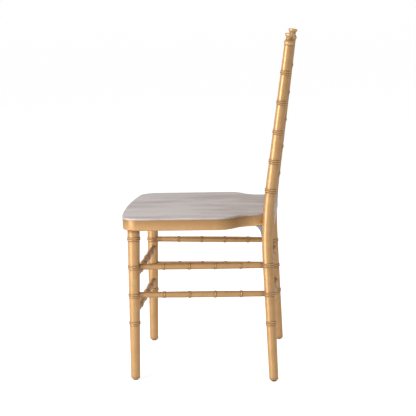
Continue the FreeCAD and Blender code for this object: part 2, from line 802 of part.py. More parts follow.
# Each screw stands beside the web, towards the end of its arm.
SCREW_OFF_WEB = 0.29
UP_SCREW_REACH = 0.62
BACK_SCREW_DROP = 0.7
screw_side = S("bracket_width") * SCREW_OFF_WEB
up_seat = bracket_corner + V(-screw_side, -UP_SCREW_REACH * S("bracket_reach"),
                             -S("bracket_plate"))
back_seat = bracket_corner + V(screw_side, -S("bracket_plate"),
                               -BACK_SCREW_DROP * S("bracket_drop"))


def screw(name, seat, direction):
    """A pan-head screw whose head bears on the bracket at the point seat."""
    shank = rod(name + "_shank", "screw_radius", seat, seat + direction * S("screw_length"),
                SCREW_SIDES)
    head = rod(name + "_head", "screw_head_radius", seat - direction * S("screw_head_height"),
               seat, SCREW_SIDES)
    whole = doc.addObject("Part::Fuse", name)
    whole.Base = shank
    whole.Tool = head
    return whole


def shank_of(name, seat, direction):
    return rod(name, "screw_radius", seat, seat + direction * S("screw_length"), SCREW_SIDES)


up_screw = screw("rail_screw", up_seat, V(0, 0, 1))
back_screw = screw("post_screw", back_seat, V(0, 1, 0))
keep(bored(bracket, [shank_of("bracket_hole_up", up_seat, V(0, 0, 1)),
                     shank_of("bracket_hole_back", back_seat, V(0, 1, 0))], "corner_bracket"),
     "corner_bracket_left")
mirrored(pieces["corner_bracket_left"], "corner_bracket_right")
screw_pair = doc.addObject("Part::Compound", "screws_left")
screw_pair.Links = [up_screw, back_screw]
screw_copy = doc.addObject("Part::Mirroring", "screws_right")
screw_copy.Source = screw_pair
screw_copy.Normal = V(1, 0, 0)
screws = doc.addObject("Part::Compound", "bracket_screws_group")
screws.Links = [screw_pair, screw_copy]
keep(screws, "bracket_screws")

side = keep(bored(side_rail, [tenon_bore, post_notch("side_rail_notch", "post_clearance"),
                              shank_of("rail_hole_up", up_seat, V(0, 0, 1))], "seat_rail_left"),
            "seat_rail_left")
mirrored(side, "seat_rail_right")

post_bores.append(shank_of("post_hole_back", back_seat, V(0, 1, 0)))
post_bores.append(floor_trim("post_floor_trim", post_foot))
post = keep(bored(post_turning, post_bores, "back_post"), "back_post_left")
mirrored(post, "back_post_right")

# Floor glides
for place, axis in (("front", leg_axis), ("rear", post_axis)):
    middle = axis(floor_gap)
    rows = [(0, "Sizes.glide_radius - Sizes.glide_chamfer"),
            ("Sizes.glide_chamfer", "Sizes.glide_radius"),
            ("Sizes.glide_height", "Sizes.glide_radius")]
    glide = turning(f"glide_{place}",
                    spaced(rows, V(middle.x, middle.y, 0), FreeCAD.Rotation()), LEG_SIDES)
    keep(glide, f"glide_{place}_left")
    mirrored(glide, f"glide_{place}_right")

doc.recompute()

# Nothing is written unless every object is sound.
solids_in = {"bracket_screws": 4}
for obj in doc.Objects:
    if "Invalid" in obj.State or "Error" in obj.State:
        raise RuntimeError(f"{obj.Name} failed: {obj.State}")
for label, obj in pieces.items():
    shape = obj.Shape
    if shape.isNull() or not shape.isValid():
        raise RuntimeError(f"{label} has no valid shape")
    if len(shape.Solids) != solids_in.get(label, 1):
        raise RuntimeError(f"{label} has {len(shape.Solids)} solids")

os.makedirs("parts", exist_ok=True)
low = V(1e9, 1e9, 1e9)
high = V(-1e9, -1e9, -1e9)
for label, obj in pieces.items():
    obj.Shape.exportStep(f"parts/{label}.step")
    box = obj.Shape.optimalBoundingBox(False, False)
    low = V(min(low.x, box.XMin), min(low.y, box.YMin), min(low.z, box.ZMin))
    high = V(max(high.x, box.XMax), max(high.y, box.YMax), max(high.z, box.ZMax))
print(f"{len(pieces)} pieces, box {low} to {high}")
print(f"bend {bend_angle:.2f} degrees, radius {bend_radius:.0f}")
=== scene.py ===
import math

import bmesh
import bpy
from mathutils import Matrix, Quaternion, Vector


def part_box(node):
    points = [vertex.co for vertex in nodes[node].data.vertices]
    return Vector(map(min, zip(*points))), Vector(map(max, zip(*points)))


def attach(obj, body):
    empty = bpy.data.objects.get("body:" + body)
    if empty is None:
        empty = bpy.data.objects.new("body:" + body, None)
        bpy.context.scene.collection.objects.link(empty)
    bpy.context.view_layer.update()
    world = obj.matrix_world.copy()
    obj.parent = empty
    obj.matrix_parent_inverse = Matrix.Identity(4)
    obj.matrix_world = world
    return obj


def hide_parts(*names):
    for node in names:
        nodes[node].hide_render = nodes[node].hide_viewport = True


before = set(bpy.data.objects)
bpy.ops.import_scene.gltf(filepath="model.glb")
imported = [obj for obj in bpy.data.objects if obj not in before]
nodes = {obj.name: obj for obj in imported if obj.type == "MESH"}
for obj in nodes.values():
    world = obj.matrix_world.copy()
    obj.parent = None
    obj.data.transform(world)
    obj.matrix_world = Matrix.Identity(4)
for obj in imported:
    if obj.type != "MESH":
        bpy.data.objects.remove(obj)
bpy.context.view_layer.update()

# The viewpoint of the photograph: the chair stands side on, front to the left, seen from a little
# behind the seat and a little above it through a long lens. Lengths are in metres throughout, and
# the three turns of the camera in radians.
EYE = Vector((3.2201, 0.3054, 1.0338))
YAW = -0.0986878
PITCH = 0.1824329
ROLL = -0.0307843
PHOTO_WIDTH = 416
FOCAL_PIXELS = 1180.75
SENSOR_WIDTH = 36

ahead = Vector((-math.cos(YAW) * math.cos(PITCH), math.sin(YAW) * math.cos(PITCH), -math.sin(PITCH)))
level_right = Vector((math.sin(YAW), math.cos(YAW), 0))
level_up = level_right.cross(ahead)
eye_right = level_right * math.cos(ROLL) + level_up * math.sin(ROLL)
eye_up = level_up * math.cos(ROLL) - level_right * math.sin(ROLL)
camera_data = bpy.data.cameras.new("photo_camera")
camera_data.sensor_width = SENSOR_WIDTH
camera_data.lens = FOCAL_PIXELS / PHOTO_WIDTH * SENSOR_WIDTH
camera = bpy.data.objects.new("photo_camera", camera_data)
camera.matrix_world = Matrix((
    (eye_right.x, eye_up.x, -ahead.x, EYE.x),
    (eye_right.y, eye_up.y, -ahead.y, EYE.y),
    (eye_right.z, eye_up.z, -ahead.z, EYE.z),
    (0, 0, 0, 1)))
bpy.context.scene.collection.objects.link(camera)
bpy.context.scene.camera = camera

# The front legs: hardwood turned on a lathe to look like bamboo, each with four ringed nodes, a
# taper down to a rounded foot, and a round tenon glued up into the corner of the seat frame.
# The whole frame of the chair is finished alike in a satin gold lacquer under a clear coat.
ROUND_STEPS = 40
ROW_SPACING = 0.012
FLOOR_GAP = 0.003
FOOT_ROUNDING = 0.005
FOOT_END_RADIUS = 0.0086
FOOT_STEPS = 5
FOOT_SHADE = 0.3
SHANK_START = FLOOR_GAP + FOOT_ROUNDING + 0.004
LEG_TOP_HEIGHT = 0.4135
LEG_RADII = (0.0123, 0.0165)
LEG_OVERLAP = 0.001
LEG_JOINT_REACH = 0.012
LEG_JOINT_SHADE = 0.8
RING_SPACING = 0.0772
LEG_RING_HEIGHTS = [0.1585 + RING_SPACING * k for k in range(4)]
RING_HALF = 0.0065
RING_PROUD = 0.0022
RING_STEPS = (-1, -0.86, -0.74, -0.62, -0.5, -0.4, -0.3, -0.2, -0.13, -0.06,
              0, 0.06, 0.13, 0.2, 0.3, 0.4, 0.5, 0.62, 0.74, 0.86, 1)
SWELLING_RISE = 0.48
RIDGE_RISE = 0.62
RIDGE_PLACE = 0.40
RIDGE_WIDTH = 0.17
CREST_WIDTH = 0.16
GROOVE_WIDTH = 0.16
RING_FOOT_PLACE = 0.80
RING_FOOT_WIDTH = 0.14
TURNED_SHARP = math.radians(50)
FLAT_END = 0.0004


def new_group(name, inputs, outputs):
    """An empty node group with named sockets: (name, socket type, default value)."""
    group = bpy.data.node_groups.new(name, "ShaderNodeTree")
    for label, kind, value in inputs:
        socket = group.interface.new_socket(label, in_out="INPUT", socket_type=kind)
        if value is not None:
            socket.default_value = value
    for label, kind in outputs:
        group.interface.new_socket(label, in_out="OUTPUT", socket_type=kind)
    return group, group.nodes.new("NodeGroupInput"), group.nodes.new("NodeGroupOutput")


def add_node(tree, kind, **values):
    """A node, with its properties set by name and its input sockets set by label."""
    node = tree.nodes.new(kind)
    for key, value in values.items():
        if hasattr(node, key):
            setattr(node, key, value)
        else:
            node.inputs[key.replace("_", " ")].default_value = value
    return node


def link_math(tree, operation, *values, clamp=False):
    """A calculation whose values are each a socket or a number."""
    node = tree.nodes.new("ShaderNodeMath")
    node.operation = operation
    node.use_clamp = clamp
    for index, value in enumerate(values):
        if isinstance(value, bpy.types.NodeSocket):
            tree.links.new(value, node.inputs[index])
        else:
            node.inputs[index].default_value = value
    return node.outputs[0]


def link_mix(tree, factor, first, second, blend="MIX"):
    """A colour mix whose factor and colours are each a socket or a value."""
    node = tree.nodes.new("ShaderNodeMix")
    node.data_type = "RGBA"
    node.blend_type = blend
    for index, value in ((0, factor), (6, first), (7, second)):
        if isinstance(value, bpy.types.NodeSocket):
            tree.links.new(value, node.inputs[index])
        else:
            node.inputs[index].default_value = value if index == 0 else (*value, 1)
    return node.outputs[2]


def stretched_noise(tree, place, across, lengthwise, detail=3.0, roughness=0.55):
    """Noise drawn out along the piece's own length; across and lengthwise are cycles a metre."""
    scaled = add_node(tree, "ShaderNodeVectorMath", operation="MULTIPLY")
    tree.links.new(place, scaled.inputs[0])
    scaled.inputs[1].default_value = (across, across, lengthwise)
    noise = add_node(tree, "ShaderNodeTexNoise", Scale=1.0, Detail=detail, Roughness=roughness)
    tree.links.new(scaled.outputs[0], noise.inputs["Vector"])
    return noise.outputs["Fac"]


def wear_and_painted_light_group():
    """Rubbed wear and painted highlight on the crests, painted shade in the hollows, broken up by noise.
    """
    group, given, out = new_group(
        "wear_and_painted_light",
        [("Place", "NodeSocketVector", None), ("Crest", "NodeSocketFloat", 0.0),
         ("Hollow", "NodeSocketFloat", 0.0), ("Patch size", "NodeSocketFloat", 60.0)],
        [("Rubbed and highlight", "NodeSocketFloat"), ("Shaded", "NodeSocketFloat"), ("Mottle", "NodeSocketFloat")])
    noise = add_node(group, "ShaderNodeTexNoise", Detail=4.0)
    group.links.new(given.outputs["Place"], noise.inputs["Vector"])
    group.links.new(given.outputs["Patch size"], noise.inputs["Scale"])
    broken = link_math(group, "MULTIPLY", noise.outputs["Fac"], given.outputs["Crest"])
    group.links.new(link_math(group, "MULTIPLY", broken, 1.6, clamp=True), out.inputs["Rubbed and highlight"])
    uneven = link_math(group, "MULTIPLY_ADD", noise.outputs["Fac"], 0.5, 0.75)
    group.links.new(link_math(group, "MULTIPLY", uneven, given.outputs["Hollow"], clamp=True),
                    out.inputs["Shaded"])
    group.links.new(noise.outputs["Fac"], out.inputs["Mottle"])
    return group


def wood_grain_group():
    """Lengthwise wood fibre: broad bands, fine streaks and short open pores."""
    group, given, out = new_group(
        "wood_grain", [("Place", "NodeSocketVector", None)],
        [("Bands", "NodeSocketFloat"), ("Streaks", "NodeSocketFloat"), ("Pores", "NodeSocketFloat")])
    bands = stretched_noise(group, given.outputs["Place"], 45, 2.2)
    streaks = stretched_noise(group, given.outputs["Place"], 420, 9, detail=4.0)
    pores = stretched_noise(group, given.outputs["Place"], 900, 60, detail=1.0)
    group.links.new(bands, out.inputs["Bands"])
    group.links.new(streaks, out.inputs["Streaks"])
    open_pores = link_math(group, "SUBTRACT", pores, 0.62)
    group.links.new(link_math(group, "MULTIPLY", open_pores, 9.0, clamp=True), out.inputs["Pores"])
    return group


WEAR_AND_PAINTED_LIGHT = wear_and_painted_light_group()
WOOD_GRAIN = wood_grain_group()


def own_place(tree):
    """The piece's own coordinates, with z along its grain."""
    return add_node(tree, "ShaderNodeAttribute", attribute_name="own_place").outputs["Vector"]


def add_wear_and_painted_light(tree, place, patch_size):
    """The wear and painted light, fed with the crests and hollows that the mesh carries."""
    wear_and_light = add_node(tree, "ShaderNodeGroup", node_tree=WEAR_AND_PAINTED_LIGHT)
    wear_and_light.inputs["Patch size"].default_value = patch_size
    tree.links.new(place, wear_and_light.inputs["Place"])
    for mask, label in (("crest", "Crest"), ("hollow", "Hollow")):
        carried = add_node(tree, "ShaderNodeAttribute", attribute_name=mask)
        tree.links.new(carried.outputs["Fac"], wear_and_light.inputs[label])
    return wear_and_light


def add_grain(tree, place):
    grain = add_node(tree, "ShaderNodeGroup", node_tree=WOOD_GRAIN)
    tree.links.new(place, grain.inputs["Place"])
    return grain


def link_bump(tree, shader, height, strength, distance):
    """Fine relief on the surface; distance is its depth in metres."""
    bump = add_node(tree, "ShaderNodeBump", Strength=strength, Distance=distance)
    tree.links.new(height, bump.inputs["Height"])
    tree.links.new(bump.outputs["Normal"], shader.inputs["Normal"])


def new_material(name, **constants):
    """A material with its tree and shader; the constants are the shader's sockets by label."""
    material = bpy.data.materials.new(name)
    material.use_nodes = True
    shader = material.node_tree.nodes["Principled BSDF"]
    for key, value in constants.items():
        shader.inputs[key.replace("_", " ")].default_value = value
    return material, material.node_tree, shader


def gold_lacquer():
    """Satin gold lacquer with a clear coat over turned hardwood."""
    lit_gold = (0.82, 0.58, 0.32)
    gold = (0.58, 0.348, 0.158)
    deep_gold = (0.40, 0.222, 0.088)
    shade = (0.15, 0.062, 0.020)
    material, tree, shader = new_material(
        "gold_lacquer", Metallic=0.40, Coat_Weight=0.20, Coat_Roughness=0.25,
        Specular_Tint=(0.34, 0.19, 0.09, 1), Specular_IOR_Level=0.25)
    place = own_place(tree)
    wear_and_light = add_wear_and_painted_light(tree, place, 55.0)
    grain = add_grain(tree, place)
    flake = add_node(tree, "ShaderNodeTexNoise", Scale=1800.0, Detail=2.0)
    tree.links.new(place, flake.inputs["Vector"])
    colour = link_mix(tree, wear_and_light.outputs["Mottle"], deep_gold, gold)
    streaked = link_math(tree, "MULTIPLY", grain.outputs["Streaks"], 0.22)
    colour = link_mix(tree, streaked, colour, deep_gold)
    sparkle = link_math(tree, "SUBTRACT", flake.outputs["Fac"], 0.52)
    colour = link_mix(tree, link_math(tree, "MULTIPLY", sparkle, 1.8, clamp=True), colour, lit_gold)
    # Painted highlight: ring ridges, collar, cap rim and lower rail edges are mixed towards lit_gold.
    colour = link_mix(tree, link_math(tree, "MULTIPLY", wear_and_light.outputs["Rubbed and highlight"], 0.35), colour, lit_gold)
    # Painted shade: ring grooves, neck, joints, feet, sticks and rail tops are mixed towards the shade
    # colour.
    colour = link_mix(tree, link_math(tree, "MULTIPLY", wear_and_light.outputs["Shaded"], 0.9), colour, shade)
    tree.links.new(colour, shader.inputs["Base Color"])
    rough = link_math(tree, "MULTIPLY_ADD", wear_and_light.outputs["Shaded"], 0.2, 0.36)
    tree.links.new(rough, shader.inputs["Roughness"])
    height = link_math(tree, "ADD", link_math(tree, "MULTIPLY", grain.outputs["Pores"], -0.5),
                       link_math(tree, "MULTIPLY", grain.outputs["Streaks"], 0.6))
    link_bump(tree, shader, height, 0.22, 0.00025)
    return material


GOLD = gold_lacquer()


def bamboo_ring(x):
    """The outline of a ringed node for x from -1 to 1: a soft swelling under two fine ridges."""
    swelling = 0.5 + 0.5 * math.cos(math.pi * x)
    ridge = math.exp(-((abs(x) - RIDGE_PLACE) / RIDGE_WIDTH) ** 2)
    return SWELLING_RISE * swelling + RIDGE_RISE * ridge


def ring_rows(middle, half, proud, radius_at):
    """Rows of (distance, radius, crest, hollow) for one ringed node."""
    rows = []
    for x in RING_STEPS:
        place = middle + x * half
        # The ridges carry a painted highlight through the crest mask, and the groove between them and
        # the ring's feet a painted shade through the hollow mask.
        crest = max(0, 1 - abs(abs(x) - RIDGE_PLACE) / CREST_WIDTH)
        groove = math.exp(-(x / GROOVE_WIDTH) ** 2)
        ring_foot = math.exp(-((abs(x) - RING_FOOT_PLACE) / RING_FOOT_WIDTH) ** 2)
        rows.append((place, radius_at(place) + proud * bamboo_ring(x), crest, max(groove, ring_foot)))
    return rows


def turned_rows(start, end, radius_at, rings, half, proud):
    """Rows from start to end: plain stretches between the rings."""
    near = ROW_SPACING * 0.4
    rows = []
    place = start
    for ring in sorted(rings):
        while place < ring - half - near:
            rows.append((place, radius_at(place), 0, 0))
            place += ROW_SPACING
        rows += ring_rows(ring, half, proud, radius_at)
        place = ring + half + ROW_SPACING * 0.6
    while place < end - near:
        rows.append((place, radius_at(place), 0, 0))
        place += ROW_SPACING
    rows.append((end, radius_at(end), 0, 0))
    return rows


def lean(direction):
    """The turn of a piece whose own z axis points along a direction."""
    return Vector((0, 0, 1)).rotation_difference(direction)


def store_surface(mesh, own, crests, hollows):
    """Keep each vertex's own coordinates and its crest and hollow masks for the materials."""
    place_layer = mesh.attributes.new("own_place", "FLOAT_VECTOR", "POINT")
    for index, value in enumerate(own):
        place_layer.data[index].vector = value
    for label, values in (("crest", crests), ("hollow", hollows)):
        layer = mesh.attributes.new(label, "FLOAT", "POINT")
        for index, value in enumerate(values):
            layer.data[index].value = value


def fit_piece(name, mesh, sharp_angle, material, node):
    """A finished mesh becomes the piece that stands in for its CAD node."""
    mesh.shade_smooth()
    mesh.set_sharp_from_angle(angle=sharp_angle)
    mesh.materials.append(material)
    piece = bpy.data.objects.new(name, mesh)
    bpy.context.scene.collection.objects.link(piece)
    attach(piece, "root")
    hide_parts(node)


def turned_piece(name, rows, frame_at, material, node, steps=ROUND_STEPS):
    """A lathe-turned piece from rows of (distance, radius, crest, hollow).

    frame_at gives the axis point and the turn at a distance.
    """
    mesh = bpy.data.meshes.new(name)
    points, faces, own, crests, hollows = [], [], [], [], []
    for distance, radius, crest, hollow in rows:
        middle, turn = frame_at(distance)
        for step in range(steps):
            angle = 2 * math.pi * step / steps
            local = Vector((radius * math.cos(angle), radius * math.sin(angle), 0))
            points.append(middle + turn @ local)
            own.append((local.x, local.y, distance))
            crests.append(crest)
            hollows.append(hollow)
    for row in range(len(rows) - 1):
        for step in range(steps):
            following = (step + 1) % steps
            low = row * steps
            high = low + steps
            faces.append((low + step, low + following, high + following, high + step))
    faces.append(tuple(reversed(range(steps))))
    faces.append(tuple(range((len(rows) - 1) * steps, len(rows) * steps)))
    mesh.from_pydata(points, [], faces)
    store_surface(mesh, own, crests, hollows)
    mesh.validate()
    fit_piece(name, mesh, TURNED_SHARP, material, node)


def straight_from(start, end):
    """The frame_at of a piece whose axis runs straight from start to end."""
    direction = (end - start).normalized()
    turn = lean(direction)
    return lambda distance: (start + direction * distance, turn)


def end_middle(node, direction):
    """The middle of the flat end that a CAD node turns towards a direction."""
    reach = [(vertex.co.dot(direction), vertex.co) for vertex in nodes[node].data.vertices]
    furthest = max(reach, key=lambda item: item[0])[0]
    flat = [co for distance, co in reach if distance > furthest - FLAT_END]
    return sum(flat, Vector()) / len(flat)


def rounded_foot_rows(radius):
    """Rows of a foot that rounds in to its flat end, above the floor glide, painted a little darker as
    shade.
    """
    rows = []
    for step in range(FOOT_STEPS + 1):
        angle = math.pi / 2 * step / FOOT_STEPS
        rows.append((FLOOR_GAP + FOOT_ROUNDING * (1 - math.cos(angle)),
                     FOOT_END_RADIUS + (radius - FOOT_END_RADIUS) * math.sin(angle), 0, FOOT_SHADE))
    return rows


leg_top_middle = end_middle("front_leg_left", Vector((0, 0, 1)))
glide_low, glide_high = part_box("glide_front_left")
leg_foot = Vector(((glide_low.x + glide_high.x) / 2, (glide_low.y + glide_high.y) / 2, FLOOR_GAP))
leg_line = (leg_top_middle - leg_foot).normalized()
leg_foot -= leg_line * (FLOOR_GAP / leg_line.z)
leg_length = LEG_TOP_HEIGHT / leg_line.z


def leg_radius_at(distance):
    share = distance / leg_length
    return LEG_RADII[0] + (LEG_RADII[1] - LEG_RADII[0]) * share


def leg_joint_shade(distance):
    """How far the hollow under the seat frame shades the top of a leg."""
    return LEG_JOINT_SHADE * max(0, 1 - (leg_length - distance) / LEG_JOINT_REACH)


for side, mirror in (("left", 1), ("right", -1)):
    foot = Vector((leg_foot.x * mirror, leg_foot.y, leg_foot.z))
    line = Vector((leg_line.x * mirror, leg_line.y, leg_line.z))
    rows = rounded_foot_rows(leg_radius_at(0))
    rows += turned_rows(SHANK_START, leg_length + LEG_OVERLAP, leg_radius_at,
                        [height / leg_line.z for height in LEG_RING_HEIGHTS], RING_HALF, RING_PROUD)
    rows = [(place, radius, crest, max(hollow, leg_joint_shade(place)))
            for place, radius, crest, hollow in rows]
    turned_piece(f"front_leg_{side}_turned", rows, straight_from(foot, foot + line), GOLD,
                 f"front_leg_{side}")

# The back posts: each is one long turning from the floor to the finial, steamed to a bend where
# it passes the seat. Three ringed nodes below the seat and five above it end in a collar, a
# thin neck and a flared cap.
KNEE = Vector((0.1495, 0.1553, 0.415))
BEND_REACH = 0.088
POST_RADII = (0.0121, 0.0145, 0.0113)
POST_RING_HEIGHTS = [0.1555 + RING_SPACING * k for k in range(3)]
BACK_RING_HEIGHTS = [0.5104 + RING_SPACING * k for k in range(5)]
ROUGH_POST_LEAN = Vector((0.04, 0.14, 1))
COLLAR_DROP = 0.025
COLLAR_STEPS = (-1, -0.8, -0.6, -0.4, -0.2, 0, 0.2, 0.4)
NECK_RADIUS = 0.0088
NECK_STEPS = 10
CAP_RADIUS = 0.0126
CAP_THICKNESS = 0.006
CAP_LIP = 0.0006
CAP_SHOULDER = 0.0016
CAP_EDGE_DEPTH = 0.0027
CAP_EDGE_WIDTH = 0.0030
CAP_EDGE_STEPS = 5
CAP_DOME = 0.0008

glide_low, glide_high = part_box("glide_rear_left")
post_foot = Vector(((glide_low.x + glide_high.x) / 2, (glide_low.y + glide_high.y) / 2, FLOOR_GAP))
low_line = (KNEE - post_foot).normalized()
post_foot -= low_line * (FLOOR_GAP / low_line.z)
low_length = (KNEE - post_foot).length
high_line = (end_middle("back_post_left", ROUGH_POST_LEAN.normalized()) - KNEE).normalized()
high_length = (end_middle("back_post_left", high_line) - KNEE).length
bend_angle = low_line.angle(high_line)
bend_radius = BEND_REACH / math.tan(bend_angle / 2)
inward = (high_line - low_line * high_line.dot(low_line)).normalized()
bend_axis = low_line.cross(inward)
bend_start = KNEE - low_line * BEND_REACH
bend_length = bend_radius * bend_angle
low_end = low_length - BEND_REACH


def post_frame_at(mirror):
    """The axis point and turn of a post at a distance from the floor along its bent axis."""
    low_turn = lean(low_line)

    def frame_at(distance):
        beyond = distance - low_end
        if beyond <= 0:
            middle, turn = post_foot + low_line * distance, low_turn
        elif beyond < bend_length:
            angle = beyond / bend_radius
            middle = bend_start + bend_radius * (low_line * math.sin(angle)
                                                 + inward * (1 - math.cos(angle)))
            turn = Quaternion(bend_axis, angle) @ low_turn
        else:
            middle = KNEE + high_line * (BEND_REACH + beyond - bend_length)
            turn = Quaternion(bend_axis, bend_angle) @ low_turn
        if mirror < 0:
            middle = Vector((-middle.x, middle.y, middle.z))
            direction = turn @ Vector((0, 0, 1))
            turn = lean(Vector((-direction.x, direction.y, direction.z)))
        return middle, turn

    return frame_at


def post_distance(height):
    """The distance along the bent axis of a point at a height outside the bend."""
    if height < KNEE.z:
        return (height - post_foot.z) / low_line.z
    return low_end + bend_length + (height - KNEE.z) / high_line.z - BEND_REACH


post_end = low_end + bend_length + high_length - BEND_REACH
collar = post_end - COLLAR_DROP


def post_radius_at(distance):
    if distance < low_end:
        return POST_RADII[0] + (POST_RADII[1] - POST_RADII[0]) * distance / low_end
    share = max(0, distance - low_end - bend_length) / (collar - low_end - bend_length)
    return POST_RADII[1] + (POST_RADII[2] - POST_RADII[1]) * share


def finial_rows():
    """The collar, the hollow neck and the flared cap, up to the slightly domed top."""
    rows = []
    for x in COLLAR_STEPS:
        place = collar + x * RING_HALF
        bead = 0.5 + 0.5 * math.cos(math.pi * x)
        # The bead of the collar carries a painted highlight, and its lower foot a painted shade.
        rows.append((place, POST_RADII[2] + RING_PROUD * bead, max(0, 1 - abs(x) * 2),
                     max(0, abs(x) - 0.7) * 2.5 if x < 0 else 0))
    neck_low = collar + RING_HALF * 0.5
    neck_high = post_end - CAP_THICKNESS - CAP_LIP
    low_radius = rows[-1][1]
    for step in range(1, NECK_STEPS + 1):
        share = step / NECK_STEPS
        fall = math.sin(math.pi / 2 * min(1, share / 0.45)) ** 1.3
        rise = max(0, (share - 0.5) / 0.5) ** 2.2
        radius = low_radius + (NECK_RADIUS - low_radius) * fall
        radius += (CAP_RADIUS - NECK_RADIUS) * 0.93 * rise
        # The neck is painted darker towards its middle, as shade.
        hollow = 0.55 * math.sin(math.pi * share)
        rows.append((neck_low + (neck_high - neck_low) * share, radius, 0, hollow))
    # The rim of the cap carries a painted highlight and its slight dome a faint painted shade.
    rows.append((post_end - CAP_THICKNESS + CAP_LIP, CAP_RADIUS * 0.99, 0.6, 0))
    rows.append((post_end - CAP_THICKNESS + CAP_SHOULDER, CAP_RADIUS, 0.8, 0))
    for step in range(CAP_EDGE_STEPS + 1):
        angle = math.pi / 2 * step / CAP_EDGE_STEPS
        rows.append((post_end - CAP_DOME - CAP_EDGE_DEPTH * (1 - math.sin(angle)),
                     CAP_RADIUS - CAP_EDGE_WIDTH * (1 - math.cos(angle)), 0.9, 0))
    for share in (0.6, 0.45, 0.25, 0.06):
        rows.append((post_end - CAP_DOME * share, CAP_RADIUS * share, 0, 0.1))
    return rows


for side, mirror in (("left", 1), ("right", -1)):
    ring_places = [post_distance(height) for height in POST_RING_HEIGHTS + BACK_RING_HEIGHTS]
    rows = rounded_foot_rows(POST_RADII[0])
    rows += turned_rows(SHANK_START, collar - RING_HALF * 1.4, post_radius_at, ring_places,
                        RING_HALF, RING_PROUD)
    rows += finial_rows()
    turned_piece(f"back_post_{side}_turned", rows, post_frame_at(mirror), GOLD,
                 f"back_post_{side}")

# The stretchers: eight thin turned rods brace the legs, two on each side, two in front and two
# behind, each glued into blind sockets. They swell a little towards the middle and carry
# smaller ringed nodes of the same bamboo pattern.
STICK_STEPS = 32
STRETCHER_RADII = (0.0076, 0.0084)
STRETCHER_RING_PITCH = 0.0685
SMALL_RING_HALF = 0.005
SMALL_RING_PROUD = 0.0019
STICK_FULLNESS = 1.6
STICK_EVEN_SHADE = 0.16
STICK_JOINT_PLACE = 0.010
STICK_JOINT_REACH = 0.006
STICK_JOINT_SHADE = 0.9


def thin_stick(node, direction, radii, ring_places, steps=STICK_STEPS):
    """A thin turned stick in the place of a CAD node that lies roughly along a direction."""
    along = (end_middle(node, direction) - end_middle(node, -direction)).normalized()
    start = end_middle(node, -along)
    end = end_middle(node, along)
    length = (end - start).length

    def radius_at(distance):
        share = 1 - abs(2 * distance / length - 1)
        return radii[0] + (radii[1] - radii[0]) * min(1, share * STICK_FULLNESS)

    rows = turned_rows(0, length, radius_at, [length / 2 + place for place in ring_places],
                       SMALL_RING_HALF, SMALL_RING_PROUD)
    shaded = []
    for place, radius, crest, hollow in rows:
        # Each end is painted darker where it enters its socket, and the whole stick a little darker
        # still, both as painted shade.
        from_end = min(place, length - place)
        joint = STICK_JOINT_SHADE * max(0, 1 - abs(from_end - STICK_JOINT_PLACE) / STICK_JOINT_REACH)
        shaded.append((place, radius, crest, max(hollow, joint, STICK_EVEN_SHADE)))
    turned_piece(node + "_turned", shaded, straight_from(start, end), GOLD, node,
                 steps=steps)


four_rings = [STRETCHER_RING_PITCH * k for k in (-1.5, -0.5, 0.5, 1.5)]
three_rings = [STRETCHER_RING_PITCH * k for k in (-1, 0, 1)]
for level in ("upper", "lower"):
    for side in ("left", "right"):
        thin_stick(f"side_stretcher_{level}_{side}", Vector((0, 1, 0)), STRETCHER_RADII, four_rings)
    thin_stick(f"front_stretcher_{level}", Vector((1, 0, 0)), STRETCHER_RADII, four_rings)
    thin_stick(f"rear_stretcher_{level}", Vector((1, 0, 0)), STRETCHER_RADII, three_rings)

# The back: three turned rails between the posts and six thin spindles, which stand in bores of
# the lower and crest rails and pass through the middle one.
RAIL_RADII = (0.0070, 0.0088)
SPINDLE_RADII = (0.0046, 0.0054)
SPINDLE_PITCH = {"lower": 0.0385, "crest": 0.0430}
SPINDLE_STEPS = 28
SPINDLE_LEAN = Vector((0, 0.14, 1))
rail_height = {level: sum((corner.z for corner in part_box(f"back_rail_{level}")), 0) / 2
               for level in ("lower", "middle", "crest")}
middle_share = ((rail_height["middle"] - rail_height["lower"])
                / (rail_height["crest"] - rail_height["lower"]))
SPINDLE_PITCH["middle"] = (SPINDLE_PITCH["lower"]
                           + (SPINDLE_PITCH["crest"] - SPINDLE_PITCH["lower"]) * middle_share)
for level in ("lower", "middle", "crest"):
    pitch = SPINDLE_PITCH[level]
    thin_stick(f"back_rail_{level}", Vector((1, 0, 0)), RAIL_RADII, [-2 * pitch, 0, 2 * pitch])
spindle_line = SPINDLE_LEAN.normalized()
for number in range(1, 7):
    node = f"spindle_{number}"
    low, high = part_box(node)
    length = (high.z - low.z) / spindle_line.z
    to_middle = length * middle_share
    thin_stick(node, spindle_line, SPINDLE_RADII,
               [to_middle / 3 - length / 2, 2 * to_middle / 3 - length / 2], steps=SPINDLE_STEPS)

# The seat frame: four flat hardwood rails glued corner to corner, bowed at the front, rounded at
# the corners and drawn in behind to meet the posts. The edges are eased by sanding; the lower
# edges carry a painted highlight and the tops of the rails, under the board, a painted shade.
RAIL_EASING = 0.0012
WELD_DISTANCE = 0.00001
ONE_PLANE = math.radians(0.5)
ROUNDED_ABOVE = math.radians(40)
EASED_SHARP = math.radians(35)
EASED_CREST = 0.8
EASED_HOLLOW = 0.55
UPRIGHT_RISE = 0.004


